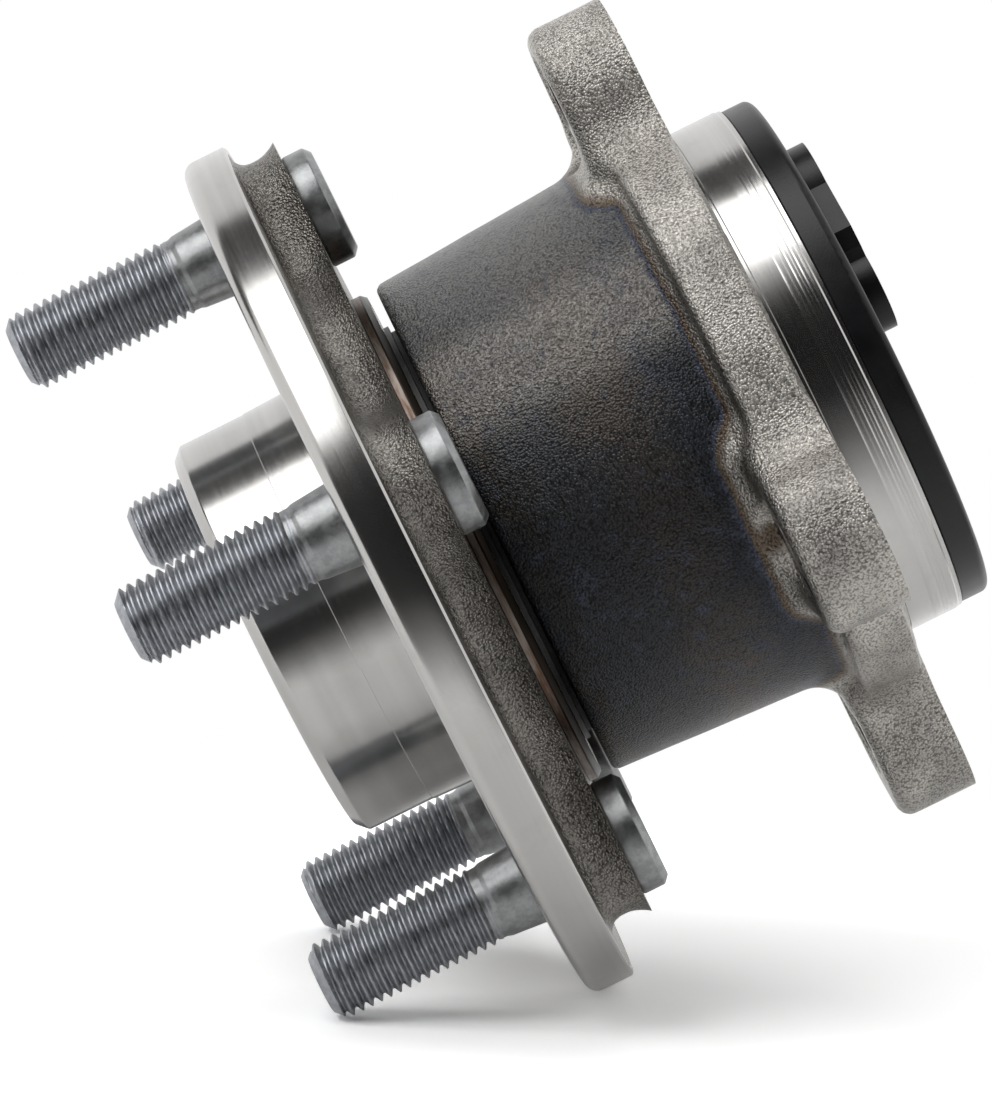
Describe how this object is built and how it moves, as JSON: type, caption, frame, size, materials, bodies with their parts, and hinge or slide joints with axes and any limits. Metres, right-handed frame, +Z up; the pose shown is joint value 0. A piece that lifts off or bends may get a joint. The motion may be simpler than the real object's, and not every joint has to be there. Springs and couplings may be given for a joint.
{
  "type": "wheel hub bearing",
  "caption": "Flanged wheel hub bearing: studded hub spinning on two ball rows inside a ring with four bolt ears, closed by a sensor cap.",
  "frame": {"origin": "centre of the hub flange's wheel face, on the spin axis", "axes": "+Y along the spin axis from the wheel towards the knuckle, +Z up through the first wheel stud"},
  "size_m": [0.136, 0.1155, 0.136],
  "materials": {
    "hub_steel": "turned flange and spigot, blasted forging between them",
    "ring_steel": "blasted forging with heat tint, turned faces",
    "stud_steel": "grey zinc-flake plating",
    "bearing_steel": "ground and polished",
    "seal_steel": "drawn stainless sheet",
    "seal_rubber": "moulded nitrile rubber",
    "magnet_rubber": "ferrite-filled rubber",
    "cage_plastic": "natural glass-filled polyamide",
    "cap_plastic": "matte black glass-filled polyamide",
    "insert_brass": "turned brass"
  },
  "bodies": {
    "outer_body": {"outer_ring": "ring_steel", "outboard_seal_casing": "seal_steel", "outboard_seal_lips": "seal_rubber", "cap_press_sleeve": "seal_steel", "sensor_cap": "cap_plastic", "cap_seal_ring": "seal_rubber", "sensor_screw_insert": "insert_brass"},
    "hub": {"hub_spindle": "hub_steel", "wheel_stud_1": "stud_steel", "wheel_stud_2": "stud_steel", "wheel_stud_3": "stud_steel", "wheel_stud_4": "stud_steel", "wheel_stud_5": "stud_steel", "inboard_inner_ring": "bearing_steel", "outboard_slinger": "seal_steel", "encoder_carrier": "seal_steel", "encoder_magnet_ring": "magnet_rubber"},
    "outboard_ball_set": {"outboard_balls": "bearing_steel", "outboard_cage": "cage_plastic"},
    "inboard_ball_set": {"inboard_balls": "bearing_steel", "inboard_cage": "cage_plastic"}
  },
  "joints": [
    {"name": "hub_spin", "type": "hinge", "parent": "outer_body", "child": "hub", "pos_m": [0, 0.0455, 0], "axis": [0, 1, 0], "continuous": true},
    {"name": "outboard_cage_spin", "type": "hinge", "parent": "outer_body", "child": "outboard_ball_set", "pos_m": [0, 0.0335, 0], "axis": [0, 1, 0], "continuous": true},
    {"name": "inboard_cage_spin", "type": "hinge", "parent": "outer_body", "child": "inboard_ball_set", "pos_m": [0, 0.0575, 0], "axis": [0, 1, 0], "continuous": true}
  ],
  "couplings": [
    {"joint": "outboard_cage_spin", "follows": "hub_spin", "ratio": 0.4198},
    {"joint": "inboard_cage_spin", "follows": "hub_spin", "ratio": 0.4198}
  ]
}
